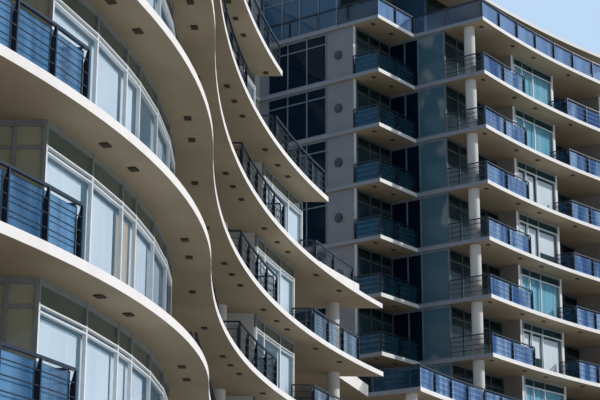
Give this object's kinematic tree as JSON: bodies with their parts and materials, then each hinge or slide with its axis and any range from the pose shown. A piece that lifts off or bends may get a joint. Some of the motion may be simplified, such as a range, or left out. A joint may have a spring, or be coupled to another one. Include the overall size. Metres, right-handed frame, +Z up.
{
  "type": "one-tenth scale model of an apartment block",
  "caption": "Apartment block with a wavy balconied wing and a taller stepped block, as a one-tenth scale model with open storeys behind its glass.",
  "frame": {"origin": "under the middle of the plan, on the ground", "axes": "+Z up, +X along the wing from its party wall to the stepped block, and the wavy front faces -Y"},
  "size_m": [8.4106, 3.746, 3.92],
  "materials": {
    "floor_slab": "painted concrete",
    "rendered_wall": "smooth render",
    "window_glass": "dark tinted glass",
    "railing_steel": "satin paint",
    "railing_glass": "clear glass",
    "column_concrete": "painted concrete"
  },
  "bodies": {
    "root": {"balcony_end_railings": "railing_steel", "balcony_glass": "window_glass", "balcony_returns": "rendered_wall", "bay_one_ends": "rendered_wall", "bay_one_glass": "window_glass", "bay_two_fin": "rendered_wall", "bay_two_glass": "window_glass", "block_back_wall": "rendered_wall", "block_end_walls": "rendered_wall", "block_rail_glass": "railing_glass", "corner_columns": "column_concrete", "corner_railings": "railing_steel", "edge_upstands": "floor_slab", "face_glass": "window_glass", "hidden_step_wall": "rendered_wall", "link_wall": "rendered_wall", "party_wall": "rendered_wall", "penthouse_glass": "window_glass", "penthouse_walls": "rendered_wall", "podium_columns": "column_concrete", "podium_railings": "railing_steel", "roof_terrace_railings": "railing_steel", "side_railings": "railing_steel", "slab_00": "floor_slab", "slab_01": "floor_slab", "slab_02": "floor_slab", "slab_03": "floor_slab", "slab_04": "floor_slab", "slab_05": "floor_slab", "slab_06": "floor_slab", "slab_07": "floor_slab", "slab_08": "floor_slab", "slab_09": "floor_slab", "slab_10": "floor_slab", "slab_11": "floor_slab", "slab_12": "floor_slab", "slab_13": "floor_slab", "step_face_walls": "rendered_wall", "step_railings": "railing_steel", "terrace_columns": "column_concrete", "terrace_rail_glass": "railing_glass", "terrace_railings": "railing_steel", "window_glass": "window_glass", "wing_back_wall": "rendered_wall", "wing_columns": "column_concrete", "wing_door_glass": "window_glass", "wing_rail_glass": "railing_glass", "wing_railings": "railing_steel"}
  },
  "joints": []
}
